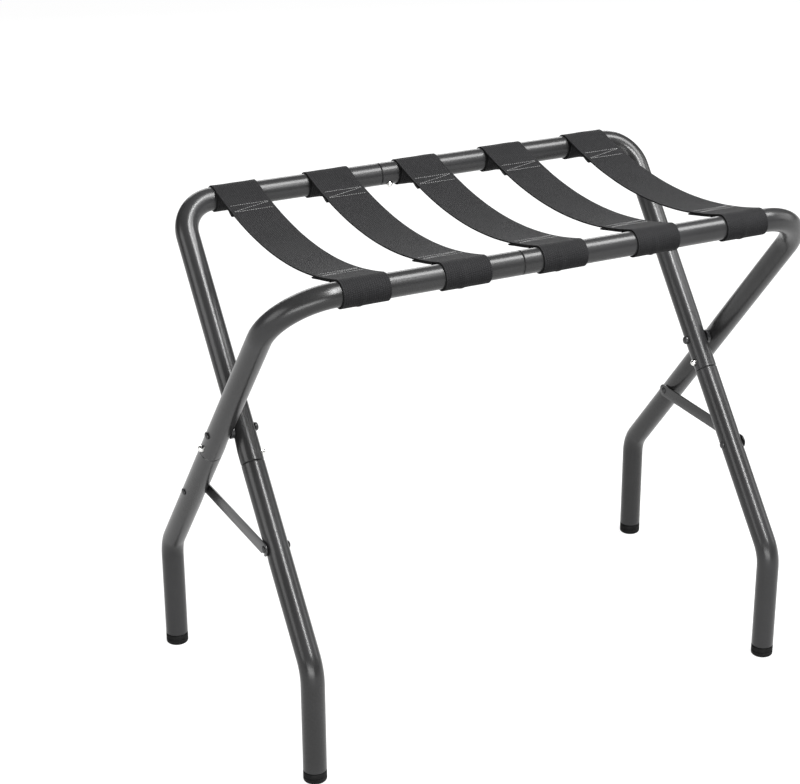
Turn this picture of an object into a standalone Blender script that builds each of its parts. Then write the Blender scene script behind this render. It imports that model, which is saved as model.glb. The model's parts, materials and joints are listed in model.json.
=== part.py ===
"""Folding luggage rack: two crossed U frames of round steel tube, hinged where their legs cross,
with five webbing straps between the rails and a hooked brace bar between the lower legs on each side.

Metres, +Z up. X runs along the rails, -Y is the side of the outer frame's rail.
The origin is on the floor, under the middle of the rack.
"""
import math

import bmesh
import bpy
from mathutils import Matrix, Vector

for old in list(bpy.data.objects):
    bpy.data.objects.remove(old, do_unlink=True)

# ---- driving dimensions --------------------------------------------------------------------------
TUBE_OD = 0.025
TUBE_WALL = 0.0012
FIT = 0.0003                 # play left between pieces that touch
RAIL_HEIGHT = 0.530          # rail centre above the floor
RAIL_SPACING = 0.326         # between the two rail centres
PIVOT_HEIGHT = 0.332
BEND_HEIGHT = 0.1290         # where the leg's line meets the foot's line
LEG_SPREAD = 0.590           # between the middles of the left and right leg pairs
OUTER_CORNER_RADIUS = 0.064  # centre line, between rail and leg
INNER_CORNER_RADIUS = 0.038
FOOT_BEND_RADIUS = 0.045

LEG_JOINT_DROP = 0.038       # from the pivot down the leg to the joint between upper and lower tube
RAIL_JOINT_CLEAR = 0.021     # from the middle strap's edge to the rail's joint
JOINT_GAP = 0.0004
NECK_LENGTH = 0.027

BUTTON_SETBACK = 0.010       # from a joint to the snap button
BUTTON_RADIUS = 0.0035
BUTTON_PROUD = 0.0045
BUTTON_DOME = 0.0014         # height of the rounded end
COLLAR_LIP = 0.0008          # how far the collar reaches past the hole
COLLAR_THICKNESS = 0.0006
SPRING_WIDTH = 0.006
SPRING_THICKNESS = 0.0007
SPRING_LENGTH = 0.022
SPRING_BEND = 0.0022         # radius

BOLT_RADIUS = 0.003
BOLT_HEAD_RADIUS = 0.0043
BOLT_HEAD_HEIGHT = 0.0022
NUT_RADIUS = 0.0046
NUT_HEIGHT = 0.0040
NUT_WALL_SHARE = 0.4         # straight part of the nut, the rest is domed
WASHER_RADIUS = 0.008

BAR_WIDTH = 0.015
BAR_THICKNESS = 0.0016
LINK_DROP = 0.1295           # from the pivot down the leg to the bar's rivet and stud
LINK_PIN_RADIUS = 0.0025
LINK_HEAD_RADIUS = 0.0040
LINK_HEAD_HEIGHT = 0.0016
NOTCH_PLAY = 0.0005
FOLDED_CLEARANCE = 0.002     # between the strap loops of the two rails when folded

PLUG_HEIGHT = 0.012
PLUG_STEM = 0.015
PLUG_EDGE = 0.002            # rounding at the floor
PLUG_GROOVE = 0.0004

STRAP_COUNT = 5
STRAP_MARGIN = 0.0004        # from the end strap's edge to the corner's bend
STRAP_WIDTH = 0.050
STRAP_THICKNESS = 0.0015
STRAP_SAG = 0.024
SEAM_GAP = 0.0055            # from the loop to the sewn overlap
SEAM_LENGTH = 0.040
TAIL_EASE = 0.2              # share of the tail taken up by its bend

TUBE_SIDES = 16
PIN_SIDES = 12
BEND_STEPS = 6
DOME_STEPS = 2
END_STEPS = 6                # round a half-circle end
LOOP_STEP = math.radians(18)
WEB_STEPS = 6
HALVINGS = 40
MERGE = 1e-6
SMOOTH_BELOW = math.radians(35)

# ---- sizes that follow ---------------------------------------------------------------------------
TUBE_R = TUBE_OD / 2
BORE_R = TUBE_R - TUBE_WALL
NECK_R = BORE_R - FIT
NECK_BORE_R = NECK_R - TUBE_WALL
BUTTON_COLLAR = BUTTON_RADIUS + FIT + COLLAR_LIP
LEG_GAP = BAR_THICKNESS + 2 * FIT
LEG_STEP = TUBE_OD + LEG_GAP                 # between an outer leg and the inner leg beside it
OUTER_X = (LEG_SPREAD + LEG_STEP) / 2        # outer leg centre from the middle
INNER_X = (LEG_SPREAD - LEG_STEP) / 2
GAP_X = LEG_SPREAD / 2                       # middle of the gap between the legs
LEAN = math.atan2(RAIL_SPACING / 2, RAIL_HEIGHT - PIVOT_HEIGHT)
RAIL_REACH = (RAIL_HEIGHT - PIVOT_HEIGHT) / math.cos(LEAN)
BEND_REACH = (PIVOT_HEIGHT - BEND_HEIGHT) / math.cos(LEAN)
STRAIGHT_RAIL = min(OUTER_X - OUTER_CORNER_RADIUS, INNER_X - INNER_CORNER_RADIUS)
STRAP_PITCH = 2 * (STRAIGHT_RAIL - STRAP_MARGIN - STRAP_WIDTH / 2) / (STRAP_COUNT - 1)
RAIL_JOINT_X = -STRAP_WIDTH / 2 - RAIL_JOINT_CLEAR
LOOP_R = TUBE_R + FIT + STRAP_THICKNESS / 2  # middle of the webbing round the rail
SEAM_START = LOOP_R + SEAM_GAP               # measured from the rail's centre
SEAM_END = SEAM_START + SEAM_LENGTH
FOLDED_GAP = 2 * (TUBE_R + FIT + STRAP_THICKNESS) + FOLDED_CLEARANCE
FOLD = 2 * LEAN - 2 * math.asin(FOLDED_GAP / 2 / RAIL_REACH)
BAR_LENGTH = 2 * LINK_DROP * math.sin(LEAN)
BAR_REST = math.asin((WASHER_RADIUS + BAR_WIDTH / 2 + FIT) / LINK_DROP)
BAR_LIFT = math.pi / 2 - LEAN - BAR_REST     # how far the bar swings up as the rack folds

PIVOT = Vector((0, 0, PIVOT_HEIGHT))
X = Vector((1, 0, 0))
SIDES = {"left": -1, "right": 1}


class Frame:
    """One U frame: which way its legs lean, and how far out they stand."""

    def __init__(self, name, lean_sign, leg_x, corner_radius, button_face):
        self.name = name
        self.leg_x = leg_x
        self.corner_radius = corner_radius
        self.button_face = button_face      # +1 buttons face outwards, -1 inwards
        self.up = Vector((0, lean_sign * math.sin(LEAN), math.cos(LEAN)))

    def point(self, x, reach):
        """A point at x, at a distance along the leg's line from the pivot, up being positive."""
        return Vector((x, 0, PIVOT_HEIGHT)) + self.up * reach


OUTER = Frame("outer", -1, OUTER_X, OUTER_CORNER_RADIUS, 1)
INNER = Frame("inner", 1, INNER_X, INNER_CORNER_RADIUS, -1)

# ---- helpers -------------------------------------------------------------------------------------
FINISHES = {
    "powder_coat": ((0.045, 0.046, 0.048, 1), 0.38, 0.6),
    "zinc": ((0.62, 0.62, 0.60, 1), 0.30, 1.0),
    "spring_steel": ((0.30, 0.30, 0.31, 1), 0.35, 1.0),
    "black_oxide": ((0.020, 0.020, 0.021, 1), 0.45, 0.8),
    "rubber": ((0.012, 0.012, 0.012, 1), 0.75, 0.0),
    "webbing": ((0.030, 0.030, 0.032, 1), 0.90, 0.0),
}
BODIES = {}


def body(name, where, parent=None):
    """An empty on the joint's axis; its pieces are parented to it."""
    empty = bpy.data.objects.new(name, None)
    bpy.context.collection.objects.link(empty)
    empty.location = where
    if parent:
        empty.parent = BODIES[parent]
        empty.location = where - BODIES[parent].matrix_world.translation
    bpy.context.view_layer.update()
    BODIES[name] = empty


def material(name, finish):
    colour, roughness, metallic = FINISHES[finish]
    made = bpy.data.materials.new(name)
    made.use_nodes = True
    shader = made.node_tree.nodes["Principled BSDF"]
    shader.inputs["Base Color"].default_value = colour
    shader.inputs["Roughness"].default_value = roughness
    shader.inputs["Metallic"].default_value = metallic
    made.diffuse_color = colour
    return made


def add(name, bm, owner, finish):
    """Turn a bmesh in world coordinates into a named object on a body."""
    bmesh.ops.remove_doubles(bm, verts=bm.verts, dist=MERGE)
    bmesh.ops.recalc_face_normals(bm, faces=bm.faces)
    origin = BODIES[owner].matrix_world.translation
    bmesh.ops.translate(bm, verts=bm.verts, vec=-origin)
    mesh = bpy.data.meshes.new(name)
    bm.to_mesh(mesh)
    bm.free()
    mesh.shade_smooth()
    mesh.set_sharp_from_angle(angle=SMOOTH_BELOW)
    mesh.materials.append(material(name, finish))
    made = bpy.data.objects.new(name, mesh)
    bpy.context.collection.objects.link(made)
    made.parent = BODIES[owner]
    return made


def cut(piece, *cutters):
    """Cut closed bmeshes, given in world coordinates, out of a piece."""
    for number, bm in enumerate(cutters):
        bmesh.ops.recalc_face_normals(bm, faces=bm.faces)
        mesh = bpy.data.meshes.new(f"cutter_{piece.name}_{number}")
        bm.to_mesh(mesh)
        bm.free()
        cutter = bpy.data.objects.new(mesh.name, mesh)
        bpy.context.collection.objects.link(cutter)
        cutter.hide_render = True
        cutter.display_type = "WIRE"
        modifier = piece.modifiers.new("cut", "BOOLEAN")
        modifier.operation = "DIFFERENCE"
        modifier.object = cutter


def turned(profile, base, axis, sides=PIN_SIDES):
    """A turned solid: (radius, height) points from one end of the axis to the other."""
    bm = bmesh.new()
    verts = [bm.verts.new((radius, 0, height)) for radius, height in profile]
    edges = [bm.edges.new(pair) for pair in zip(verts, verts[1:])]
    bmesh.ops.spin(
        bm,
        geom=verts + edges,
        cent=(0, 0, 0),
        axis=(0, 0, 1),
        angle=math.tau,
        steps=sides,
        use_merge=True,
    )
    bmesh.ops.remove_doubles(bm, verts=bm.verts, dist=MERGE)
    turn = Vector((0, 0, 1)).rotation_difference(axis).to_matrix().to_4x4()
    bmesh.ops.transform(bm, matrix=Matrix.Translation(base) @ turn, verts=bm.verts)
    return bm


def rod(base, axis, start, end, radius, sides=PIN_SIDES):
    """A plain round bar between two heights on an axis."""
    return turned([(0, start), (radius, start), (radius, end), (0, end)], base, axis, sides)


def dome(radius, height, start, sign):
    """Profile points of a low dome whose rim is at start, from the rim to the crown."""
    turns = [math.pi / 2 * i / DOME_STEPS for i in range(1, DOME_STEPS + 1)]
    return [(radius * math.cos(t), start + sign * height * math.sin(t)) for t in turns]


def extruded(outline, along, depth):
    """A flat closed outline of 3-D points, pushed out to a plate of the given depth."""
    bm = bmesh.new()
    face = bm.faces.new([bm.verts.new(p - along * depth / 2) for p in outline])
    pushed = bmesh.ops.extrude_face_region(bm, geom=[face])["geom"]
    moved = [v for v in pushed if isinstance(v, bmesh.types.BMVert)]
    bmesh.ops.translate(bm, verts=moved, vec=along * depth)
    return bm


def arc(centre, radius, start, end, steps):
    """Points on an arc in a plane, as (a, b) pairs."""
    turns = [start + (end - start) * i / steps for i in range(steps + 1)]
    return [(centre[0] + radius * math.cos(t), centre[1] + radius * math.sin(t)) for t in turns]


class Route:
    """The centre line of a tube: straight, one round bend, straight."""

    def __init__(self, start, corner, end, radius):
        self.start = start
        self.first = (corner - start).normalized()
        self.last = (end - corner).normalized()
        self.turn = self.first.angle(self.last)
        self.normal = self.first.cross(self.last).normalized()
        tangent = radius * math.tan(self.turn / 2)
        self.radius = radius
        self.bend_start = (corner - start).length - tangent
        self.bend_end = self.bend_start + radius * self.turn
        self.length = self.bend_end + (end - corner).length - tangent
        self.centre = start + self.first * self.bend_start + self.normal.cross(self.first) * radius

    def ring(self, distance, radius):
        """Centre and two axes of the section at a distance along the route."""
        swept = min(max(distance - self.bend_start, 0), self.bend_end - self.bend_start)
        turn = Matrix.Rotation(swept / self.radius, 3, self.normal)
        tangent = turn @ self.first
        middle = self.start + self.first * min(distance, self.bend_start)
        if swept > 0:
            middle = self.centre + turn @ (self.start + self.first * self.bend_start - self.centre)
        middle = middle + tangent * max(distance - self.bend_end, 0)
        across = tangent.cross(self.normal)
        return [
            middle + radius * (math.cos(t) * self.normal + math.sin(t) * across)
            for t in (math.tau * i / TUBE_SIDES for i in range(TUBE_SIDES))
        ]

    def stations(self, ends):
        """The given (distance, radius) ends with the bend's own steps put between them."""
        span = self.bend_end - self.bend_start
        bend = [self.bend_start + span * i / BEND_STEPS for i in range(BEND_STEPS + 1)]
        before = [e for e in ends if e[0] < self.bend_start]
        after = [e for e in ends if e[0] > self.bend_end]
        return before + [(d, before[-1][1]) for d in bend] + after


def tube(route, outside, inside):
    """A hollow tube: closed rings along the outside, then back along the bore."""
    bm = bmesh.new()
    chain = route.stations(outside) + route.stations(inside)[::-1]
    rings = [[bm.verts.new(p) for p in route.ring(*station)] for station in chain]
    for ring, following in zip(rings, rings[1:] + rings[:1]):
        for i in range(TUBE_SIDES):
            j = (i + 1) % TUBE_SIDES
            bm.faces.new((ring[i], ring[j], following[j], following[i]))
    return bm


# ---- the bodies, each with its origin on its joint -----------------------------------------------
body("outer_frame", PIVOT)
body("inner_frame", PIVOT, "outer_frame")
body("straps_front", OUTER.point(0, RAIL_REACH), "outer_frame")
body("straps_back", INNER.point(0, RAIL_REACH), "inner_frame")
for side, sign in SIDES.items():
    body(f"link_{side}", OUTER.point(sign * GAP_X, -LINK_DROP), "outer_frame")


# ---- tubes ---------------------------------------------------------------------------------------
def button_places(frame):
    """A frame's three snap buttons: name, point on the tube's centre, way out, way to the spring's bend."""
    places = [("rail", frame.point(RAIL_JOINT_X + BUTTON_SETBACK, RAIL_REACH), -frame.up, -X)]
    for side, sign in SIDES.items():
        centre = frame.point(sign * frame.leg_x, -LEG_JOINT_DROP + BUTTON_SETBACK)
        places.append((side, centre, X * sign * frame.button_face, -frame.up))
    return places


def button_hole(centre, out):
    return rod(centre, out, NECK_BORE_R / 2, TUBE_OD, BUTTON_RADIUS + FIT)


def upper_tube(frame, side):
    """Half a rail, a round corner and the upper leg down to the leg joint."""
    sign = SIDES[side]
    rail_end = RAIL_JOINT_X if side == "left" else RAIL_JOINT_X + JOINT_GAP
    neck_end = RAIL_JOINT_X + NECK_LENGTH if side == "left" else rail_end
    leg_end = frame.point(sign * frame.leg_x, -LEG_JOINT_DROP + JOINT_GAP)
    corner = frame.point(sign * frame.leg_x, RAIL_REACH)
    route = Route(leg_end, corner, frame.point(neck_end, RAIL_REACH), frame.corner_radius)
    shoulder = route.length - abs(neck_end - rail_end)
    outside = [(0, TUBE_R), (shoulder, TUBE_R)]
    inside = [(0, BORE_R), (shoulder, BORE_R)]
    if side == "left":
        outside += [(shoulder, NECK_R), (route.length, NECK_R)]
        inside = [(0, BORE_R), (shoulder - TUBE_WALL, BORE_R)]
        inside += [(shoulder - TUBE_WALL, NECK_BORE_R), (route.length, NECK_BORE_R)]
    name = f"{frame.name}_upper_tube_{side}"
    piece = add(name, tube(route, outside, inside), f"{frame.name}_frame", "powder_coat")
    pivot_hole = rod(frame.point(sign * frame.leg_x, 0), X, -TUBE_OD, TUBE_OD, BOLT_RADIUS + FIT)
    holes = [button_hole(c, out) for place, c, out, _ in button_places(frame) if place in ("rail", side)]
    cut(piece, pivot_hole, *holes)


def lower_leg(frame, side):
    """A necked top that slides into the upper tube, the lower leg, and the upright foot."""
    sign = SIDES[side]
    x = sign * frame.leg_x
    top = frame.point(x, -LEG_JOINT_DROP + NECK_LENGTH)
    corner = frame.point(x, -BEND_REACH)
    foot = Vector((x, corner.y, PLUG_HEIGHT + FIT))
    route = Route(top, corner, foot, FOOT_BEND_RADIUS)
    outside = [(0, NECK_R), (NECK_LENGTH, NECK_R), (NECK_LENGTH, TUBE_R), (route.length, TUBE_R)]
    inside = [(0, NECK_BORE_R), (NECK_LENGTH + TUBE_WALL, NECK_BORE_R)]
    inside += [(NECK_LENGTH + TUBE_WALL, BORE_R), (route.length, BORE_R)]
    name = f"{frame.name}_lower_leg_{side}"
    piece = add(name, tube(route, outside, inside), f"{frame.name}_frame", "powder_coat")
    link_hole = rod(frame.point(x, -LINK_DROP), X, -TUBE_OD, TUBE_OD, LINK_PIN_RADIUS + FIT)
    holes = [button_hole(c, out) for place, c, out, _ in button_places(frame) if place == side]
    cut(piece, link_hole, *holes)


def foot_plug(frame, side):
    """A push-in foot: a stem in the tube and a grooved body as wide as the tube, flat underneath."""
    foot = frame.point(SIDES[side] * frame.leg_x, -BEND_REACH)
    foot.z = 0
    groove = PLUG_HEIGHT / 2
    edge = arc((TUBE_R - PLUG_EDGE, PLUG_EDGE), PLUG_EDGE, -math.pi / 2, 0, 2)
    profile = [(0, 0)] + edge + [(TUBE_R, groove - PLUG_GROOVE), (TUBE_R - PLUG_GROOVE, groove)]
    profile += [(TUBE_R, groove + PLUG_GROOVE), (TUBE_R, PLUG_HEIGHT), (NECK_R, PLUG_HEIGHT)]
    profile += [(NECK_R, PLUG_HEIGHT + PLUG_STEM), (0, PLUG_HEIGHT + PLUG_STEM)]
    bm = turned(profile, foot, Vector((0, 0, 1)), TUBE_SIDES)
    add(f"{frame.name}_foot_plug_{side}", bm, f"{frame.name}_frame", "rubber")


# ---- snap buttons --------------------------------------------------------------------------------
def snap_button(frame, place, centre, out):
    """A domed button with a collar that keeps it from falling out of the neck's hole."""
    owner = f"button_{frame.name}_{place}"
    flat_bore = NECK_BORE_R * math.cos(math.pi / TUBE_SIDES) - FIT
    collar_top = math.sqrt(flat_bore ** 2 - BUTTON_COLLAR ** 2)
    collar_base = collar_top - COLLAR_THICKNESS
    rim = TUBE_R + BUTTON_PROUD - BUTTON_DOME
    profile = [(0, collar_base), (BUTTON_COLLAR, collar_base), (BUTTON_COLLAR, collar_top)]
    profile += [(BUTTON_RADIUS, collar_top), (BUTTON_RADIUS, rim)]
    profile += dome(BUTTON_RADIUS, BUTTON_DOME, rim, 1)
    body(owner, centre, f"{frame.name}_frame")
    add(f"{frame.name}_snap_button_{place}", turned(profile, centre, out), owner, "zinc")
    return collar_base


def snap_spring(frame, place, centre, out, back, top):
    """A V of spring leaf inside the neck: one arm under the button, one on the far wall."""
    upper = top - FIT - SPRING_THICKNESS
    flat_bore = NECK_BORE_R * math.cos(math.pi / TUBE_SIDES) - FIT
    lower = SPRING_THICKNESS / 2 - math.sqrt(flat_bore ** 2 - (SPRING_WIDTH / 2) ** 2)
    middle = (upper + lower) / 2
    line = [(-BUTTON_COLLAR, upper)]
    line += arc((SPRING_LENGTH, middle), SPRING_BEND, math.pi / 2, -math.pi / 2, END_STEPS)
    line += [(-BUTTON_COLLAR, lower)]
    outline = thickened(line, SPRING_THICKNESS)
    across = out.cross(back)
    points = [centre + back * s + out * r for s, r in outline]
    name = f"{frame.name}_snap_spring_{place}"
    add(name, extruded(points, across, SPRING_WIDTH), f"{frame.name}_frame", "spring_steel")


def thickened(line, thickness):
    """The outline of a strip whose middle follows a line of (a, b) points."""
    points = [Vector(p) for p in line]
    left, right = [], []
    for i, p in enumerate(points):
        before = (p - points[i - 1]).normalized() if i else (points[1] - p).normalized()
        after = (points[i + 1] - p).normalized() if i + 1 < len(points) else before
        way = (before + after).normalized()
        side = Vector((-way.y, way.x)) * thickness / 2 / way.dot(before)
        left.append(tuple(p + side))
        right.append(tuple(p - side))
    return left + right[::-1]


# ---- pivots, links -------------------------------------------------------------------------------
def pivot_set(side):
    """The bolt through both legs, its domed nut on the inner leg, and the washer between the legs."""
    out = X * SIDES[side]
    head_seat = OUTER_X + TUBE_R + FIT
    nut_seat = INNER_X - TUBE_R - FIT
    nut_wall = NUT_WALL_SHARE * NUT_HEIGHT
    nut_dome = NUT_HEIGHT - nut_wall
    shank_end = nut_seat - nut_dome
    profile = [(0, shank_end), (BOLT_RADIUS, shank_end), (BOLT_RADIUS, head_seat)]
    profile += [(BOLT_HEAD_RADIUS, head_seat)] + dome(BOLT_HEAD_RADIUS, BOLT_HEAD_HEIGHT, head_seat, 1)
    add(f"pivot_bolt_{side}", turned(profile, PIVOT, out), "outer_frame", "black_oxide")
    bore = BOLT_RADIUS + FIT
    profile = [(0, shank_end - FIT), (bore, shank_end - FIT), (bore, nut_seat), (NUT_RADIUS, nut_seat)]
    profile += [(NUT_RADIUS, nut_seat - nut_wall)] + dome(NUT_RADIUS, nut_dome, nut_seat - nut_wall, -1)
    add(f"pivot_nut_{side}", turned(profile, PIVOT, out), "outer_frame", "black_oxide")
    half = BAR_THICKNESS / 2
    profile = [(bore, GAP_X - half), (WASHER_RADIUS, GAP_X - half), (WASHER_RADIUS, GAP_X + half)]
    profile += [(bore, GAP_X + half), (bore, GAP_X - half)]
    add(f"pivot_washer_{side}", turned(profile, PIVOT, out), "outer_frame", "black_oxide")


def headed_pin(name, frame, side, owner):
    """A pin across one lower leg and the bar, with a domed head at each end."""
    toward_gap = GAP_X - frame.leg_x                     # positive on the inner frame
    way = X * SIDES[side] * math.copysign(1, toward_gap)
    base = frame.point(SIDES[side] * frame.leg_x, -LINK_DROP)
    leg_seat = -TUBE_R - FIT
    bar_seat = TUBE_R + LEG_GAP
    profile = [(0, leg_seat - LINK_HEAD_HEIGHT)]
    profile += dome(LINK_HEAD_RADIUS, LINK_HEAD_HEIGHT, leg_seat, -1)[-2::-1]
    profile += [(LINK_HEAD_RADIUS, leg_seat), (LINK_PIN_RADIUS, leg_seat), (LINK_PIN_RADIUS, bar_seat)]
    profile += [(LINK_HEAD_RADIUS, bar_seat)] + dome(LINK_HEAD_RADIUS, LINK_HEAD_HEIGHT, bar_seat, 1)
    add(name, turned(profile, base, way), owner, "black_oxide")


def link_bar(side):
    """A flat bar, riveted to the outer leg, with a notch that hooks over the inner leg's stud."""
    x = SIDES[side] * GAP_X
    rivet = OUTER.point(x, -LINK_DROP)
    stud = INNER.point(x, -LINK_DROP)
    half = BAR_WIDTH / 2
    ends = arc((stud.y, stud.z), half, math.pi / 2, 1.5 * math.pi, END_STEPS)
    ends += arc((rivet.y, rivet.z), half, -math.pi / 2, math.pi / 2, END_STEPS)
    plate = extruded([Vector((x, a, b)) for a, b in ends], X, BAR_THICKNESS)
    piece = add(f"link_bar_{side}", plate, f"link_{side}", "powder_coat")
    # The stud leaves the notch along its own path less the bar's, as both start to move.
    way_y = LINK_DROP * math.cos(LEAN)
    way_z = -LINK_DROP * math.sin(LEAN) - BAR_LENGTH * BAR_LIFT / FOLD
    heading = math.atan2(way_z, way_y)
    notch = LINK_PIN_RADIUS + NOTCH_PLAY
    mouth = Vector((0, math.cos(heading), math.sin(heading))) * (BAR_WIDTH + notch) + stud
    slot = arc((stud.y, stud.z), notch, heading + math.pi / 2, heading + 1.5 * math.pi, END_STEPS)
    slot += arc((mouth.y, mouth.z), notch, heading - math.pi / 2, heading + math.pi / 2, END_STEPS)
    slot_cut = extruded([Vector((x, a, b)) for a, b in slot], X, 3 * BAR_THICKNESS)
    rivet_cut = rod(rivet, X, -2 * BAR_THICKNESS, 2 * BAR_THICKNESS, LINK_PIN_RADIUS + FIT)
    cut(piece, rivet_cut, slot_cut)


# ---- straps --------------------------------------------------------------------------------------
def web_lean():
    """The angle round the loop at which the sagging web leaves it, found by halving."""
    low, high = 0.0, math.pi / 4
    for _ in range(HALVINGS):
        angle = (low + high) / 2
        run = RAIL_SPACING / 2 - LOOP_R * math.sin(angle)
        drop = LOOP_R * math.cos(angle) - (LOOP_R - STRAP_SAG)
        low, high = (angle, high) if math.tan(angle) * run / 2 < drop else (low, angle)
    return angle


def strap_line():
    """The middle of half a strap: (distance from the rail's centre towards the middle, height above it)."""
    leave = web_lean()
    run = RAIL_SPACING / 2 - LOOP_R * math.sin(leave)
    curve = math.tan(leave) / 2 / run

    def web(distance):
        return LOOP_R - STRAP_SAG + curve * (RAIL_SPACING / 2 - distance) ** 2

    under = STRAP_THICKNESS + FIT
    tail_start = (SEAM_START, web(SEAM_START) - under)
    spread = math.hypot(*tail_start)
    touch = math.atan2(tail_start[1], tail_start[0]) - math.acos(LOOP_R / spread)
    steps = math.ceil((touch + 1.5 * math.pi + leave) / LOOP_STEP)
    loop = arc((0, 0), LOOP_R, touch, -1.5 * math.pi - leave, steps)
    tail_end = (SEAM_END, web(SEAM_END) - under)
    ease = [tuple(Vector(tail_start).lerp(Vector(p), TAIL_EASE)) for p in (tail_end, loop[0])]
    first = LOOP_R * math.sin(leave)
    last = RAIL_SPACING / 2 - FIT / 2
    distances = [first + (last - first) * i / WEB_STEPS for i in range(1, WEB_STEPS + 1)]
    return [tail_end] + ease + loop + [(d, web(d)) for d in distances]


def strap_half(number, x, frame):
    """Half a strap, from the sewn loop round one rail to the middle of the rack."""
    rail = frame.point(x, RAIL_REACH)
    inwards = -1 if frame is INNER else 1
    outline = thickened(strap_line(), STRAP_THICKNESS)
    points = [rail + Vector((0, inwards * a, b)) for a, b in outline]
    end = "front" if frame is OUTER else "back"
    bm = extruded(points, X, STRAP_WIDTH)
    add(f"strap_{number}_{end}_half", bm, f"straps_{end}", "webbing")


# ---- build ---------------------------------------------------------------------------------------
for frame in (OUTER, INNER):
    for side in SIDES:
        upper_tube(frame, side)
        lower_leg(frame, side)
        foot_plug(frame, side)
    for place, centre, out, back in button_places(frame):
        collar = snap_button(frame, place, centre, out)
        snap_spring(frame, place, centre, out, back, collar)

for side in SIDES:
    pivot_set(side)
    headed_pin(f"link_rivet_{side}", OUTER, side, "outer_frame")
    headed_pin(f"link_stud_{side}", INNER, side, "inner_frame")
    link_bar(side)

for number in range(STRAP_COUNT):
    x = (number - (STRAP_COUNT - 1) / 2) * STRAP_PITCH
    strap_half(number + 1, x, OUTER)
    strap_half(number + 1, x, INNER)
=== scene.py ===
# %% [markdown]
# # A folding luggage rack
# The rack is two U frames of round steel tube that cross like scissors. Five webbing straps join
# their rails, and a flat brace bar on each side keeps the legs from sliding together.
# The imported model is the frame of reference: it says where everything is and how it moves. This
# lesson builds the finished surfaces around it, piece by piece, in metres.

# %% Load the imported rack
import json
import math

import bmesh
import bpy
from mathutils import Matrix, Vector, noise


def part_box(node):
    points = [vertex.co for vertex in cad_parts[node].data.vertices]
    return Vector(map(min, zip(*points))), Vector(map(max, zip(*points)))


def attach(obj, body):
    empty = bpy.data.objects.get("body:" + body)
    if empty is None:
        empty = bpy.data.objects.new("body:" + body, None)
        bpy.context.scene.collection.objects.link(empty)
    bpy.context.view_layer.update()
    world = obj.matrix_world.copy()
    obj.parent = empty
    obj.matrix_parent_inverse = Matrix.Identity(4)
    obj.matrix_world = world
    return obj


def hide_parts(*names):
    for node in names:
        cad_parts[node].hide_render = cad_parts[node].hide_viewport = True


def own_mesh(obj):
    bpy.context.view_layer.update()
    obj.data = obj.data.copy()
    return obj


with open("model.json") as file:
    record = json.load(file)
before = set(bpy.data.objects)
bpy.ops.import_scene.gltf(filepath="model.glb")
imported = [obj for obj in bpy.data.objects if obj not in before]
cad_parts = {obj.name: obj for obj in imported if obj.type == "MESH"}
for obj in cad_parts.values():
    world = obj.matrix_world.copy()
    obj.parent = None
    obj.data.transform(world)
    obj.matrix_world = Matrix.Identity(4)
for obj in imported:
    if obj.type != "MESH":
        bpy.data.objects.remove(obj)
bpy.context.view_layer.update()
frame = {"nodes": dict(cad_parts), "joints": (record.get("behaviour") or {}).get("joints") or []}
joints = {joint["name"]: joint for joint in frame["joints"]}

# %% [markdown]
# ## The camera
# A camera comes first, so that each piece can be judged from the same place. A long lens from a
# little above shows the rack as a catalogue would. The small shift slides the rack to the right in
# the frame without turning the view.

# %% Place the camera
AZIMUTH = math.radians(-28.193)
ELEVATION = math.radians(23.347)
ROLL = math.radians(0.533)
DISTANCE = 2.3076
TARGET = Vector((0, 0, 0.318))

backward = Vector((
    math.sin(AZIMUTH) * math.cos(ELEVATION),
    -math.cos(AZIMUTH) * math.cos(ELEVATION),
    math.sin(ELEVATION),
))
level_right = Vector((math.cos(AZIMUTH), math.sin(AZIMUTH), 0))
level_up = backward.cross(level_right)
right = level_right * math.cos(ROLL) + level_up * math.sin(ROLL)
up = level_up * math.cos(ROLL) - level_right * math.sin(ROLL)
camera = bpy.data.objects.new("camera", bpy.data.cameras.new("camera"))
bpy.context.collection.objects.link(camera)
turn = Matrix((right, up, backward)).transposed().to_4x4()
camera.matrix_world = Matrix.Translation(TARGET + backward * DISTANCE) @ turn
camera.data.lens = 94.118
camera.data.sensor_width = 36
camera.data.shift_x = -0.1017
camera.data.shift_y = 0.0010
bpy.context.scene.camera = camera
print("the camera is", round(DISTANCE, 2), "m from the rack")

# %% [markdown]
# ## Where things are
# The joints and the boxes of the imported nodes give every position. The legs of the outer frame lean
# one way and those of the inner frame the other, and both are measured along their own line from
# the pivot, so one small class is enough to say where any point on a leg is.

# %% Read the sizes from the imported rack
SIDES = {"left": -1, "right": 1}
FIT = 0.0003
WALL = 0.0012
PIVOT = Vector(joints["fold"]["pos_m"])
RAIL = Vector(joints["straps_front_turn"]["pos_m"])
LINK = Vector(joints["link_right_lift"]["pos_m"])
plug_low, plug_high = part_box("outer_foot_plug_right")
inner_low, inner_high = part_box("inner_foot_plug_right")
TUBE_R = (plug_high.x - plug_low.x) / 2
BORE_R = TUBE_R - WALL
NECK_R = BORE_R - FIT
NECK_BORE_R = NECK_R - WALL
OUTER_X = (plug_low.x + plug_high.x) / 2
INNER_X = (inner_low.x + inner_high.x) / 2
GAP_X = LINK.x
LEG_GAP = OUTER_X - INNER_X - 2 * TUBE_R
REACH = (RAIL - PIVOT).length
LINK_REACH = -(Vector((0, LINK.y, LINK.z)) - PIVOT).length
FOOT_Y = (plug_low.y + plug_high.y) / 2
PLUG_HEIGHT = 0.012
LEG_JOINT = -0.038
RAIL_JOINT_X = -0.046
JOINT_GAP = 0.0004
NECK_LENGTH = 0.027


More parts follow.
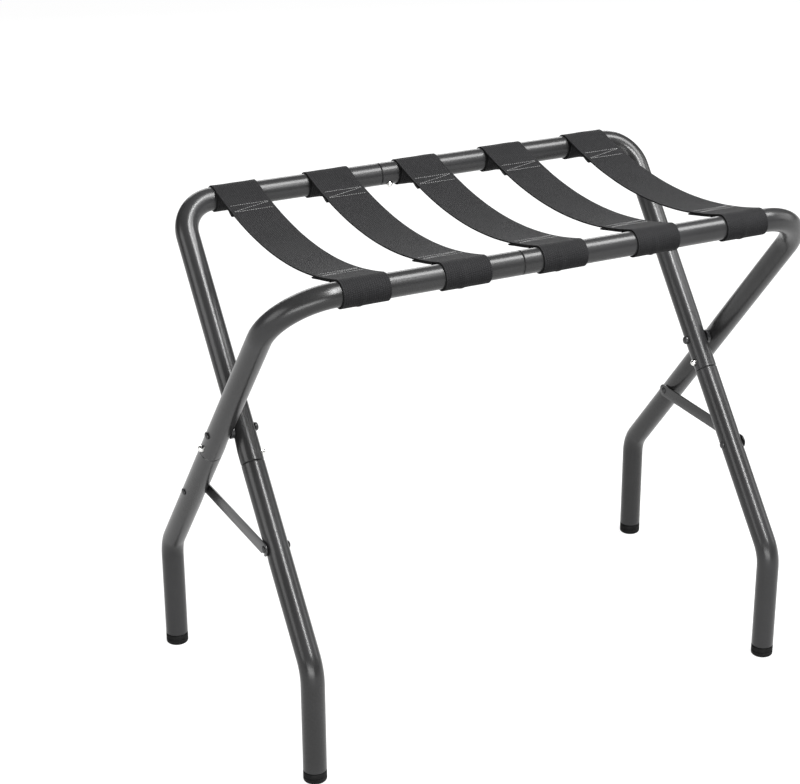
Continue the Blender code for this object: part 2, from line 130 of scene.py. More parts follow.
class Frame:
    """One U frame, with the line its legs follow."""

    def __init__(self, name, lean, leg_x, corner_radius):
        self.name = name
        self.leg_x = leg_x
        self.corner_radius = corner_radius
        self.up = Vector((0, lean * (RAIL - PIVOT).y, (RAIL - PIVOT).z)).normalized()
        self.body = f"{name}_frame"

    def point(self, x, reach):
        return Vector((x, 0, PIVOT.z)) + self.up * reach

    def rail_tube(self, x):
        """The side of the rail tube that lies under a place on the rail."""
        return "left" if x < RAIL_JOINT_X else "right"


OUTER = Frame("outer", 1, OUTER_X, 0.064)
INNER = Frame("inner", -1, INNER_X, 0.038)
print("tube", 2000 * TUBE_R, "mm, legs at", round(OUTER_X, 4), "and", round(INNER_X, 4))

# %% [markdown]
# ## Writing a finish as arithmetic
# A finish is a handful of maths on a few textures. Wrapping one node socket in a class that knows
# +, - and * lets that maths be written as plain expressions, and one method makes any other node.

# %% The socket wrapper and the finish
class Socket:
    """One output of a node; arithmetic on it adds a maths node."""

    def __init__(self, finish, socket):
        self.finish = finish
        self.socket = socket

    def math(self, operation, *values):
        sockets = dict(enumerate(values))
        return self.finish.node("ShaderNodeMath", {"operation": operation}, sockets)

    def __add__(self, other):
        return self.math("ADD", self, other)

    def __sub__(self, other):
        return self.math("SUBTRACT", self, other)

    def __rsub__(self, other):
        return self.math("SUBTRACT", other, self)

    def __mul__(self, other):
        return self.math("MULTIPLY", self, other)

    def __truediv__(self, other):
        return self.math("DIVIDE", self, other)

    def __pow__(self, other):
        return self.math("POWER", self, other)

    __radd__ = __add__
    __rmul__ = __mul__

    def clamped(self):
        return self.finish.node("ShaderNodeClamp", {}, {0: self})


class Finish:
    """A Principled material and the nodes that feed it."""

    def __init__(self, name, **constants):
        self.material = bpy.data.materials.new(name)
        self.material.use_nodes = True
        self.tree = self.material.node_tree
        self.shader = self.tree.nodes["Principled BSDF"]
        for socket, value in constants.items():
            self.shader.inputs[socket.replace("_", " ")].default_value = value

    def put(self, socket, value):
        if isinstance(value, Socket):
            self.tree.links.new(value.socket, socket)
        else:
            socket.default_value = value

    def node(self, kind, settings, sockets, out=0):
        made = self.tree.nodes.new(kind)
        for name, value in settings.items():
            if name == "stops":
                ramp = made.color_ramp.elements
                while len(ramp) < len(value):
                    ramp.new(1)
                for stop, (place, colour) in zip(ramp, value):
                    stop.position = place
                    stop.color = colour
            else:
                setattr(made, name, value)
        for key, value in sockets.items():
            self.put(made.inputs[key], value)
        return Socket(self, made.outputs[out])

    def feed(self, name, value):
        self.put(self.shader.inputs[name], value)

    def place(self):
        return self.node("ShaderNodeTexCoord", {}, {}, "Object")

    def grain(self, scale, detail=3.0, vector=None, roughness=0.55):
        sockets = {"Vector": vector or self.place(), "Scale": scale, "Detail": detail}
        sockets["Roughness"] = roughness
        return self.node("ShaderNodeTexNoise", {}, sockets)

    def attribute(self, name):
        return self.node("ShaderNodeAttribute", {"attribute_name": name}, {}, "Fac")

    def mix(self, factor, first, second):
        sockets = {0: factor, 6: first, 7: second}
        return self.node("ShaderNodeMix", {"data_type": "RGBA"}, sockets, 2)

    def between(self, value, low, high):
        """0 below low, 1 above high, smooth in between."""
        sockets = {"Value": value, "From Min": low, "From Max": high}
        return self.node("ShaderNodeMapRange", {"interpolation_type": "SMOOTHSTEP"}, sockets)

    def bump(self, height, distance, strength=1.0):
        sockets = {"Height": height, "Distance": distance, "Strength": strength}
        self.feed("Normal", self.node("ShaderNodeBump", {}, sockets))


print("finishes are ready to be written")

# %% [markdown]
# ## The powder coat
# The steel is powder coated: a dark grey paint, baked on, with a satin skin. Up close the skin
# has a fine orange-peel ripple, because the melted grains never flow out quite flat, and the gloss
# drifts a little along the tube.

# %% Powder coat
coat = Finish("powder_coat", Metallic=0.0, Specular_IOR_Level=0.36)
ripple = coat.grain(420, 2.0)
speckle = coat.grain(2600, 1.0)
drift = coat.grain(9, 3.0)
coat.feed("Base Color", coat.mix(
    coat.between(speckle * 0.5 + drift * 0.5, 0.35, 0.66),
    (0.015, 0.015, 0.015, 1),
    (0.025, 0.025, 0.026, 1),
))
coat.feed("Roughness", 0.23 + drift * 0.06 + speckle * 0.04)
coat.bump(ripple, 0.00004, 0.3)
print("powder coat:", len(coat.tree.nodes), "nodes")

# %% [markdown]
# ## Plated, blackened and sprung steel
# The snap buttons are zinc plated and stay bright. The bolts, nuts, washers and rivets are
# blackened, with a slightly uneven gloss. The leaf springs inside the tubes are bare brushed steel.

# %% Small steel finishes
zinc = Finish("zinc_plate", Metallic=1.0)
brushed = zinc.grain(1500, 2.0)
cloud = zinc.grain(220, 2.0)
zinc.feed("Base Color", zinc.mix(cloud, (0.62, 0.62, 0.60, 1), (0.86, 0.86, 0.84, 1)))
zinc.feed("Roughness", 0.14 + brushed * 0.16)
zinc.bump(brushed, 0.00003, 0.4)

blackened = Finish("blackened_steel", Metallic=0.0, Specular_IOR_Level=0.55)
worn = blackened.grain(700, 3.0)
blackened.feed("Base Color", blackened.mix(
    worn,
    (0.006, 0.006, 0.007, 1),
    (0.020, 0.020, 0.021, 1),
))
blackened.feed("Roughness", 0.22 + worn * 0.22)
blackened.bump(worn, 0.00004, 0.5)

sprung = Finish("spring_steel", Metallic=1.0)
lines = sprung.grain(3000, 2.0)
sprung.feed("Base Color", sprung.mix(lines, (0.25, 0.25, 0.26, 1), (0.42, 0.42, 0.43, 1)))
sprung.feed("Roughness", 0.28 + lines * 0.2)
print("three small steel finishes")

# %% [markdown]
# ## The feet
# The feet are moulded in a hard black rubber. The mould was spark-eroded, so the skin has a fine
# even pitting that scatters light and hides scuffs.

# %% Moulded rubber
rubber = Finish("moulded_rubber", Metallic=0.0, Specular_IOR_Level=0.12)
pits = rubber.grain(1900, 2.0)
patches = rubber.grain(150, 2.0)
rubber.feed("Base Color", rubber.mix(
    rubber.between(pits * 0.6 + patches * 0.4, 0.38, 0.62),
    (0.002, 0.002, 0.002, 1),
    (0.008, 0.008, 0.008, 1),
))
rubber.feed("Roughness", 0.52 + pits * 0.25)
rubber.bump(pits, 0.00015, 0.6)
print("moulded rubber:", len(rubber.tree.nodes), "nodes")

# %% [markdown]
# ## The webbing
# Webbing is a narrow cloth woven on its own loom, with thick yarns that lie side by side along the
# strap and pass over and under the cross yarns in a brick pattern. Two attributes on the mesh say
# how far along and how far across the strap a point is, so the weave runs round the loops without
# a break and keeps its true pitch. At each edge the cross yarn turns back and leaves a flat border,
# which the weave here does not draw.

# %% Woven webbing
YARN_PITCH = 0.0024
FLOAT_LENGTH = 0.0018
YARN_ROUNDNESS = 3.4
FLOAT_ROUNDNESS = 3.6
webbing = Finish("woven_webbing", Metallic=0.0, Specular_IOR_Level=0.08, Sheen_Weight=0.02,
                 Sheen_Roughness=0.5)
along = webbing.attribute("run") / FLOAT_LENGTH
across = webbing.attribute("across") / YARN_PITCH
yarn = across.math("FLOOR", across)
step = (yarn * 0.5).math("FRACT", yarn * 0.5)
yarn_place = across.math("FRACT", across) - 0.5
float_place = (along + step).math("FRACT", along + step) - 0.5
round_yarn = (1 - yarn_place * yarn_place * YARN_ROUNDNESS).clamped()
round_float = (1 - float_place * float_place * FLOAT_ROUNDNESS).clamped()
weave_relief_and_gap_shade = (round_yarn * round_float) ** 0.5
fuzz = webbing.grain(5200, 2.0)
shade = webbing.grain(34, 3.0)
# The weave relief also sets the colour: the gaps between yarns, where shade falls, are painted darker
# than the yarn tops, as painted shade.
webbing.feed("Base Color", webbing.mix(
    (weave_relief_and_gap_shade * 0.75 + fuzz * 0.25) * (0.75 + shade * 0.5),
    (0.002, 0.002, 0.002, 1),
    (0.017, 0.017, 0.018, 1),
))
webbing.feed("Roughness", 0.92 - weave_relief_and_gap_shade * 0.22 - fuzz * 0.1)
webbing.bump(weave_relief_and_gap_shade + fuzz * 0.15, 0.0005, 0.8)
print("webbing:", round(1000 * YARN_PITCH, 2), "mm yarns,", len(webbing.tree.nodes), "nodes")

# %% [markdown]
# The sewing thread is a paler grey than the webbing, so that the seams show. It is two strands
# twisted together, which a slanting wave in its own colour and bump suggests.

# %% Sewing thread
thread = Finish("sewing_thread", Metallic=0.0, Specular_IOR_Level=0.3)
twist = thread.node("ShaderNodeTexWave", {"bands_direction": "DIAGONAL"},
                    {"Vector": thread.place(), "Scale": 500, "Distortion": 1.5})
thread.feed("Base Color", thread.mix(twist, (0.10, 0.10, 0.10, 1), (0.22, 0.22, 0.22, 1)))
thread.feed("Roughness", 0.65 + twist * 0.15)
thread.bump(twist, 0.0001, 0.6)
print("thread:", len(thread.tree.nodes), "nodes")

# %% [markdown]
# ## Turning a mesh into a piece
# Every piece ends the same way: doubles are merged, the normals are made to point outwards, curved
# faces are shaded smooth with the true edges kept sharp, the piece is hung on the body that carries
# it, and the imported nodes it stands for are hidden.

# %% Finish a piece
MERGE = 1e-6
SHARP = 35


def piece_from(name, bm, body, slot, finish, *nodes, crease=SHARP):
    """Make a finished object that rides on a body, standing in for any nodes given."""
    bmesh.ops.remove_doubles(bm, verts=bm.verts, dist=MERGE)
    bmesh.ops.recalc_face_normals(bm, faces=bm.faces)
    mesh = bpy.data.meshes.new(name)
    bm.to_mesh(mesh)
    bm.free()
    mesh.shade_smooth()
    mesh.set_sharp_from_angle(angle=math.radians(crease))
    mesh.materials.append(finish.material)
    piece = bpy.data.objects.new(name, mesh)
    bpy.context.collection.objects.link(piece)
    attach(piece, body)
    if nodes:
        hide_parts(*nodes)
    return piece


def edges_of(geometry):
    return [item for item in geometry if isinstance(item, bmesh.types.BMEdge)]


def verts_of(geometry):
    return [item for item in geometry if isinstance(item, bmesh.types.BMVert)]


# %% [markdown]
# ## Drawing a tube
# A tube is a circle that travels: extruding its edge loop makes a straight run, and spinning it
# about a point beside it makes a bend, just as a pipe bender does. A step in or out at a joint is
# the same loop, extruded in place and scaled. Only the outside is drawn, and solidify then gives
# it a real wall inwards, so that the bore follows every bend and step.

# %% A travelling ring
TUBE_SIDES = 64
BEND_SPACING = math.radians(3)


class Ring:
    """A circle of edges that grows a round wall behind it."""

    def __init__(self, bm, start, way, radius):
        self.bm = bm
        self.at = start.copy()
        self.way = way.normalized()
        self.radius = radius
        circle = bmesh.ops.create_circle(bm, cap_ends=False, radius=radius, segments=TUBE_SIDES)
        verts = circle["verts"]
        spin = self.way.to_track_quat("Z", "X").to_matrix().to_4x4()
        bmesh.ops.transform(bm, matrix=Matrix.Translation(start) @ spin, verts=verts)
        self.edges = list({edge for vert in verts for edge in vert.link_edges})

    def grow(self):
        grown = bmesh.ops.extrude_edge_only(self.bm, edges=self.edges)["geom"]
        fresh = set(verts_of(grown))
        self.edges = [edge for edge in edges_of(grown) if set(edge.verts) <= fresh]
        return list(fresh)

    def straight(self, length, steps=1):
        for _ in range(steps):
            bmesh.ops.translate(self.bm, verts=self.grow(), vec=self.way * (length / steps))
        self.at += self.way * length

    def resize(self, radius, length=0.0):
        verts = self.grow()
        bmesh.ops.translate(self.bm, verts=verts, vec=self.way * length)
        self.at += self.way * length
        share = radius / self.radius
        space = Matrix.Translation(-self.at)
        bmesh.ops.scale(self.bm, vec=(share, share, share), space=space, verts=verts)
        self.radius = radius

    def bend(self, way, radius):
        axis = self.way.cross(way).normalized()
        angle = self.way.angle(way)
        centre = self.at + axis.cross(self.way) * radius
        verts = list({vert for edge in self.edges for vert in edge.verts})
        made = bmesh.ops.spin(
            self.bm,
            geom=verts + self.edges,
            cent=centre,
            axis=axis,
            angle=angle,
            steps=math.ceil(angle / BEND_SPACING),
            use_merge=False,
            use_duplicate=False,
        )
        self.edges = edges_of(made["geom_last"])
        self.at = centre + Matrix.Rotation(angle, 3, axis) @ (self.at - centre)
        self.way = way.normalized()


def give_wall(bm):
    """Turn the drawn outside of a tube into a wall with a bore."""
    bmesh.ops.remove_doubles(bm, verts=bm.verts, dist=MERGE)
    bmesh.ops.recalc_face_normals(bm, faces=bm.faces)
    bmesh.ops.solidify(bm, geom=bm.faces[:], thickness=WALL)


bend_step = round(math.degrees(BEND_SPACING))
print("a tube has", TUBE_SIDES, "sides and a bend step of", bend_step, "degrees")

# %% [markdown]
# ## Holes and dents
# A hole is cut with a Boolean and the result kept as the mesh, so no cutter is left behind. Where
# the legs cross, the tube maker presses a shallow dent into each, facing the other, so that the
# pair sit close. A dent is a smooth push of the points on that side towards the tube's middle.

# %% Drill and press
DENT = 0.0014


def turned(profile, base, axis, sides=48):
    """Spin a profile of (radius, height) points about an axis."""
    bm = bmesh.new()
    verts = [bm.verts.new((radius, 0, height)) for radius, height in profile]
    edges = [bm.edges.new(pair) for pair in zip(verts, verts[1:])]
    bmesh.ops.spin(bm, geom=verts + edges, cent=(0, 0, 0), axis=(0, 0, 1), angle=math.tau,
                   steps=sides, use_merge=True)
    bmesh.ops.remove_doubles(bm, verts=bm.verts, dist=MERGE)
    spin = axis.to_track_quat("Z", "X").to_matrix().to_4x4()
    bmesh.ops.transform(bm, matrix=Matrix.Translation(base) @ spin, verts=bm.verts)
    return bm


def drill(piece, *holes):
    """Cut closed shapes out of a piece and keep the result."""
    depsgraph = bpy.context.evaluated_depsgraph_get
    for number, bm in enumerate(holes):
        bmesh.ops.recalc_face_normals(bm, faces=bm.faces)
        mesh = bpy.data.meshes.new(f"cutter_{number}")
        bm.to_mesh(mesh)
        bm.free()
        cutter = bpy.data.objects.new(mesh.name, mesh)
        bpy.context.collection.objects.link(cutter)
        modifier = piece.modifiers.new("hole", "BOOLEAN")
        modifier.object = cutter
        modifier.operation = "DIFFERENCE"
        modifier.solver = "EXACT"
        bpy.context.view_layer.update()
        cut = bpy.data.meshes.new_from_object(piece.evaluated_get(depsgraph()))
        piece.modifiers.clear()
        piece.data = cut
        bpy.data.objects.remove(cutter)
    piece.data.shade_smooth()
    piece.data.set_sharp_from_angle(angle=math.radians(SHARP))


def hole(base, axis, start, end, radius):
    return turned([(0, start), (radius, start), (radius, end), (0, end)], base, axis, 32)


def press_dent(bm, centre, along, facing, half_length, depth=DENT):
    """Push the side of a tube that faces a direction in towards its middle."""
    sideways = along.cross(facing)
    for vert in bm.verts:
        offset = vert.co - centre
        if offset.dot(facing) <= 0 or abs(offset.dot(along)) > half_length:
            continue
        lengthwise = 1 - (offset.dot(along) / half_length) ** 2
        crosswise = max(0.0, 1 - (offset.dot(sideways) / TUBE_R) ** 2)
        vert.co -= facing * depth * lengthwise ** 2 * crosswise


print("dents are", 1000 * DENT, "mm deep")

# %% [markdown]
# ## The upper tubes
# Each frame is four tubes. An upper tube is half of the rail, the round corner, and the leg down
# past the pivot. The left one ends in a narrower neck that slides into the right one, beside the
# middle strap. The rims at the joints are rounded over, and that rounding is what draws the thin
# dark ring that shows where the tubes meet.

# %% Upper tubes
RIM = 0.0008
X = Vector((1, 0, 0))
BOLT_R = 0.003
BUTTON_R = 0.0035
PIVOT_DENT = 0.026
RAIL_FINE = 0.03
FINE = 24


def button(frame_name, place):
    """Where a button sits and which way it faces, from its joint."""
    joint = joints[f"{frame_name}_{place}_button_press"]
    return Vector(joint["pos_m"]), -Vector(joint["axis"])


def button_hole(frame_name, place):
    centre, out = button(frame_name, place)
    return hole(centre, out, NECK_BORE_R / 2, 2 * TUBE_R, BUTTON_R + 2.5 * FIT)


def draw_upper(ring, legs, side):
    """The outside of an upper tube, from the leg joint up and along the rail."""
    corner_straight = REACH - LEG_JOINT - JOINT_GAP - legs.corner_radius
    rail_end = -RAIL_JOINT_X if side == "left" else RAIL_JOINT_X + JOINT_GAP
    rail_straight = legs.leg_x - legs.corner_radius - rail_end
    past_pivot = PIVOT_DENT - LEG_JOINT
    ring.resize(TUBE_R, RIM)
    ring.straight(past_pivot - RIM, FINE)
    ring.straight(corner_straight - past_pivot, 4)
    ring.bend(X * -SIDES[side], legs.corner_radius)
    ring.straight(rail_straight - RAIL_FINE, 4)
    ring.straight(RAIL_FINE - RIM, 10)
    ring.resize(TUBE_R - RIM, RIM)
    if side == "left":
        ring.resize(NECK_R)
        ring.straight(NECK_LENGTH, 6)


for legs in (OUTER, INNER):
    for side, sign in SIDES.items():
        bm = bmesh.new()
        start = legs.point(sign * legs.leg_x, LEG_JOINT + JOINT_GAP)
        draw_upper(Ring(bm, start, legs.up, TUBE_R - RIM), legs, side)
        give_wall(bm)
        facing = X * sign * (-1 if legs is OUTER else 1)
        press_dent(bm, legs.point(sign * legs.leg_x, 0), legs.up, facing, PIVOT_DENT)
        piece = piece_from(f"{legs.name}_top_{side}", bm, legs.body, "powder_coat", coat,
                           f"{legs.name}_upper_tube_{side}")
        crossing = legs.point(sign * legs.leg_x, 0)
        bolt_hole = hole(crossing, X, -2 * TUBE_R, 2 * TUBE_R, BOLT_R + FIT)
        drill(piece, bolt_hole, button_hole(legs.name, side), button_hole(legs.name, "rail"))
        print(piece.name, len(piece.data.polygons), "faces")

# %% [markdown]
# ## The lower legs
# A lower leg starts as a neck inside the upper tube, widens at the joint, runs on down the same
# line and bends upright for the last hand's width, so that the foot stands flat on the floor.

# %% Lower legs
FOOT_BEND_RADIUS = 0.045
DOWN = Vector((0, 0, -1))
LINK_PIN_R = 0.0025
LINK_DENT = 0.016


def draw_lower(ring, legs):
    """The outside of a lower leg, from the top of the neck to the foot's rim."""
    bend_turn = (-legs.up).angle(DOWN)
    tangent = FOOT_BEND_RADIUS * math.tan(bend_turn / 2)
    corner_reach = FOOT_Y / abs(legs.up.y)
    corner_height = PIVOT.z - corner_reach * legs.up.z
    leg_run = corner_reach + LEG_JOINT - tangent
    above_link = LEG_JOINT - LINK_REACH - LINK_DENT
    ring.straight(NECK_LENGTH, 6)
    ring.resize(TUBE_R - RIM)
    ring.resize(TUBE_R, RIM)
    ring.straight(above_link - RIM, 4)
    ring.straight(2 * LINK_DENT, FINE)
    ring.straight(leg_run - above_link - 2 * LINK_DENT, 4)
    ring.bend(DOWN, FOOT_BEND_RADIUS)
    ring.straight(corner_height - tangent - PLUG_HEIGHT - FIT - RIM, 4)
    ring.resize(TUBE_R - RIM, RIM)


for legs in (OUTER, INNER):
    for side, sign in SIDES.items():
        bm = bmesh.new()
        start = legs.point(sign * legs.leg_x, LEG_JOINT + NECK_LENGTH)
        ring = Ring(bm, start, -legs.up, NECK_R)
        draw_lower(ring, legs)
        give_wall(bm)
        link_point = legs.point(sign * legs.leg_x, LINK_REACH)
        facing = X * sign * (-1 if legs is OUTER else 1)
        press_dent(bm, link_point, legs.up, facing, LINK_DENT, 0.5 * DENT)
        piece = piece_from(f"{legs.name}_leg_{side}", bm, legs.body, "powder_coat", coat,
                           f"{legs.name}_lower_leg_{side}")
        pin_hole = hole(link_point, X, -2 * TUBE_R, 2 * TUBE_R, LINK_PIN_R + FIT)
        drill(piece, pin_hole, button_hole(legs.name, side))
        print(piece.name, "ends", round(1000 * ring.at.z, 1), "mm above the floor")

# %% [markdown]
# ## Small turned pieces
# Bolts, nuts, rivets, washers, buttons and feet are all lathe shapes: half of the outline is drawn
# as a few points and spun about the axis. An arc of points rounds each corner, because a real edge
# is never knife sharp and the rounding is what catches the light.

# %% Turned profiles
def arc(centre, radius, start, end, steps=6):
    """Points on an arc, with angles in degrees."""
    turns = [math.radians(start + (end - start) * i / steps) for i in range(steps + 1)]
    return [(centre[0] + radius * math.cos(t), centre[1] + radius * math.sin(t)) for t in turns]


def crown(radius, height, seat, sign=1, steps=10):
    """A low dome from its rim at the seat to its top."""
    turns = [math.pi / 2 * i / steps for i in range(steps + 1)]
    return [(radius * math.cos(t), seat + sign * height * math.sin(t)) for t in turns]


PLUG_EDGE = 0.0022
PLUG_GROOVE = 0.0007
PLUG_STEM = 0.015
middle = PLUG_HEIGHT / 2
foot_profile = [(0, 0)] + arc((TUBE_R - PLUG_EDGE, PLUG_EDGE), PLUG_EDGE, -90, 0)
foot_profile += [(TUBE_R, middle - PLUG_GROOVE)] + arc((TUBE_R, middle), PLUG_GROOVE, 270, 90)
foot_profile += [(TUBE_R, PLUG_HEIGHT - RIM), (TUBE_R - RIM, PLUG_HEIGHT), (NECK_R, PLUG_HEIGHT)]
foot_profile += [(NECK_R, PLUG_HEIGHT + PLUG_STEM), (0, PLUG_HEIGHT + PLUG_STEM)]
for legs in (OUTER, INNER):
    for side, sign in SIDES.items():
        foot = Vector((sign * legs.leg_x, 0, 0))
        foot.y = FOOT_Y if legs is OUTER else -FOOT_Y
        piece_from(f"{legs.name}_foot_{side}", turned(foot_profile, foot, -DOWN, 72), legs.body,
                   "rubber", rubber, f"{legs.name}_foot_plug_{side}", crease=50)
print("four feet", 1000 * PLUG_HEIGHT, "mm tall")

# %% [markdown]
# A snap button is a domed pin with a collar. The collar sits inside the neck, and the leaf spring
# behind it pushes the dome out through both tubes to lock the joint.

# %% Snap buttons
BUTTON_PROUD = 0.0045
BUTTON_DOME = 0.0032
COLLAR_R = 0.0046
COLLAR_TOP = 0.0072
COLLAR_BASE = COLLAR_TOP - 0.0006
button_profile = [(0, COLLAR_BASE), (COLLAR_R, COLLAR_BASE), (COLLAR_R, COLLAR_TOP)]
button_profile += [(BUTTON_R, COLLAR_TOP)]
button_profile += crown(BUTTON_R, BUTTON_DOME, TUBE_R + BUTTON_PROUD - BUTTON_DOME)
for legs in (OUTER, INNER):
    for place in ("rail", "left", "right"):
        centre, out = button(legs.name, place)
        piece_from(f"{legs.name}_button_{place}", turned(button_profile, centre, out),
                   f"button_{legs.name}_{place}", "zinc", zinc, f"{legs.name}_snap_button_{place}")
print("six snap buttons stand", 1000 * BUTTON_PROUD, "mm proud")

# %% [markdown]
# Behind each button a bent leaf of steel pushes it out. Its shape in the imported model is already
# right, so a copy of that mesh is merged and finished. A leaf that is pressed does not turn, it
# closes; the copy here keeps its resting shape, and only the leaf's depth and its button's travel
# are measured.

# %% Leaf springs
for legs in (OUTER, INNER):
    for place in ("rail", "left", "right"):
        centre, out = button(legs.name, place)
        press = f"{legs.name}_{place}_button_press"
        node = f"{legs.name}_snap_spring_{place}"
        bm = bmesh.new()
        bm.from_mesh(frame["nodes"][node].data)
        heights = [(vert.co - centre).dot(out) for vert in bm.verts]
        depth = max(heights) - min(heights)
        spring = piece_from(f"{legs.name}_spring_{place}", bm, legs.body, "spring_steel",
                            sprung, node)
        travel = joints[press]["range_m"][1]
        anchor = centre + out * min(heights)
        1 - travel / depth
        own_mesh(spring)
print("each leaf is", round(1000 * depth, 1), "mm deep and closes by", 1000 * travel, "mm")

# %% [markdown]
# Each crossing turns on one bolt with a domed head outside and a domed nut inside. A thin washer
# fills the space between the dents, so the legs never rub.

# %% Pivot bolts, nuts and washers
BOLT_HEAD_R = 0.0043
BOLT_HEAD_HEIGHT = 0.0022
NUT_R = 0.0046
NUT_HEIGHT = 0.0040
WASHER_R = 0.008
CHAMFER = 0.0003
HEAD_LIP = 0.0004
head_seat = OUTER_X + TUBE_R + FIT
nut_seat = INNER_X - TUBE_R - FIT
nut_wall = 0.4 * NUT_HEIGHT
shank_end = nut_seat - 0.6 * NUT_HEIGHT
bore = BOLT_R + FIT
bolt_profile = [(0, shank_end), (BOLT_R, shank_end), (BOLT_R, head_seat)]
bolt_profile += [(BOLT_HEAD_R - CHAMFER, head_seat)]
bolt_profile += crown(BOLT_HEAD_R, BOLT_HEAD_HEIGHT - HEAD_LIP, head_seat + HEAD_LIP)
nut_profile = [(0, shank_end - FIT), (bore, shank_end - FIT), (bore, nut_seat)]
nut_profile += [(NUT_R, nut_seat)] + crown(NUT_R, NUT_HEIGHT - nut_wall, nut_seat - nut_wall, -1)
half_washer = LEG_GAP / 2 - FIT + 0.9 * DENT
washer_low, washer_high = GAP_X - half_washer, GAP_X + half_washer
washer_profile = [(bore, washer_low), (WASHER_R - CHAMFER, washer_low)]
washer_profile += [(WASHER_R, washer_low + CHAMFER), (WASHER_R, washer_high - CHAMFER)]
washer_profile += [(WASHER_R - CHAMFER, washer_high), (bore, washer_high)]
washer_profile += washer_profile[:1]
for side, sign in SIDES.items():
    for name, profile in (("bolt", bolt_profile), ("nut", nut_profile), ("washer", washer_profile)):
        piece_from(f"crossing_{name}_{side}", turned(profile, PIVOT, X * sign), "outer_frame",
                   "black_oxide", blackened, f"pivot_{name}_{side}")
print("two crossings, bolts", round(1000 * (head_seat - shank_end), 1), "mm long")

# %% [markdown]
# ## The brace bars
# A brace bar is a flat steel strip with round ends. One end is riveted to the outer leg, and the
# other is notched from below and hooks over a stud on the inner leg. The strip is drawn as a
# stadium: one point spun half a turn at each end, joined by two straight edges, filled, pushed to
# its thickness and softened along the edges. A narrower and deeper one cuts the notch.

# %% Brace bars
BAR_WIDTH = 0.015
BAR_THICKNESS = 0.0016
BAR_EDGE = 0.00035
NOTCH_PLAY = 0.0005
PIN_CUT = 0.01
fold_range = math.radians(joints["fold"]["range_deg"][1])
link_range = math.radians(joints["link_right_lift"]["range_deg"][1])


def stadium(start, end, radius, x, depth):
    """A flat strip with half-round ends between two points, in a plane of constant x."""
    bm = bmesh.new()
    side = X.cross((end - start).normalized()) * radius
    near, far = Vector((x, start.y, start.z)), Vector((x, end.y, end.z))
    for centre, offset in ((near, side), (far, -side)):
        seed = bm.verts.new(centre + offset - X * depth / 2)
        bmesh.ops.spin(bm, geom=[seed], cent=centre, axis=X, angle=math.pi, steps=20)
    tips = [vert for vert in bm.verts if len(vert.link_edges) == 1]
    for outward in (side, -side):
        bm.edges.new([tip for tip in tips if (tip.co - near).dot(outward) > 0])
    face = bmesh.ops.contextual_create(bm, geom=bm.edges[:])["faces"]
    grown = bmesh.ops.extrude_face_region(bm, geom=face)["geom"]
    bmesh.ops.translate(bm, verts=verts_of(grown), vec=X * depth)
    return bm


for side, sign in SIDES.items():
    x = sign * GAP_X
    rivet = OUTER.point(x, LINK_REACH)
    stud = INNER.point(x, LINK_REACH)
    bm = stadium(rivet, stud, BAR_WIDTH / 2, x, BAR_THICKNESS)
    rims = [e for e in bm.edges if abs(e.verts[0].co.x - e.verts[1].co.x) < MERGE]
    bmesh.ops.bevel(bm, geom=rims, offset=BAR_EDGE, segments=2, profile=0.5, material=-1,
                    affect="EDGES")
    piece = piece_from(f"brace_bar_{side}", bm, f"link_{side}", "powder_coat", coat,
                       f"link_bar_{side}", crease=50)
    away = Vector((0, -LINK_REACH * OUTER.up.z, LINK_REACH * -OUTER.up.y))
    away.z -= (rivet - stud).length * link_range / fold_range
    mouth = stud + away.normalized() * 1.5 * BAR_WIDTH
    notch = stadium(stud, mouth, LINK_PIN_R + NOTCH_PLAY, x, 4 * BAR_THICKNESS)
    drill(piece, hole(rivet, X, -PIN_CUT, PIN_CUT, LINK_PIN_R + FIT), notch)
    print(piece.name, round(1000 * (rivet - stud).length, 1), "mm between its pins")

# %% [markdown]
# The rivet and the stud are pins with a domed head at each end. Their heads are small, dark and
# slightly shiny.

# %% Brace rivets and studs
LINK_HEAD_R = 0.0040
LINK_HEAD_HEIGHT = 0.0018
pin_profile = crown(LINK_HEAD_R, LINK_HEAD_HEIGHT, -TUBE_R - FIT, -1)[::-1]
pin_profile += [(LINK_PIN_R, -TUBE_R - FIT), (LINK_PIN_R, TUBE_R + LEG_GAP)]
pin_profile += crown(LINK_HEAD_R, LINK_HEAD_HEIGHT, TUBE_R + LEG_GAP)
for side, sign in SIDES.items():
    for legs, name, old in ((OUTER, "rivet", "link_rivet"), (INNER, "stud", "link_stud")):
        way = X * sign * math.copysign(1, GAP_X - legs.leg_x)
        base = legs.point(sign * legs.leg_x, LINK_REACH)
        piece_from(f"brace_{name}_{side}", turned(pin_profile, base, way), legs.body, "black_oxide",
                   blackened, f"{old}_{side}")
print("four brace pins")

# %% [markdown]
# ## The straps
# A strap is one length of webbing. It lies flat between the rails, sags a little, goes over each
# rail, comes back underneath and is sewn to itself. Because it turns about both rails when the rack
# folds, it is made as two halves, one riding round each rail. The path of a half is measured along
# its own length: first the cut tail, then the loop round the rail, then the open web. The two
# halves meet at the middle when the rack is open, and pass through each other while it folds.

# %% The line a strap follows
THICK = 0.0015
WEB_R = TUBE_R + FIT + THICK / 2
SEAM_START = 0.01905
SEAM_END = 0.05905
strap_low, strap_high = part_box("strap_3_front_half")
STRAP_WIDTH = strap_high.x - strap_low.x
HALF_SPAN = -RAIL.y
SAG = 0.024
HALVINGS = 40
TAIL_STEPS = 18
LEAD_STEPS = 4
LOOP_STEPS = 44
WEB_STEPS = 56


def leave_angle():
    """How far past the top of the rail the web lets go of it."""
    low, high = 0.0, math.pi / 4
    for _ in range(HALVINGS):
        angle = (low + high) / 2
        run = HALF_SPAN - WEB_R * math.sin(angle)
        if math.tan(angle) * run / 2 < WEB_R * math.cos(angle) - (WEB_R - SAG):
            low = angle
        else:
            high = angle
    return low


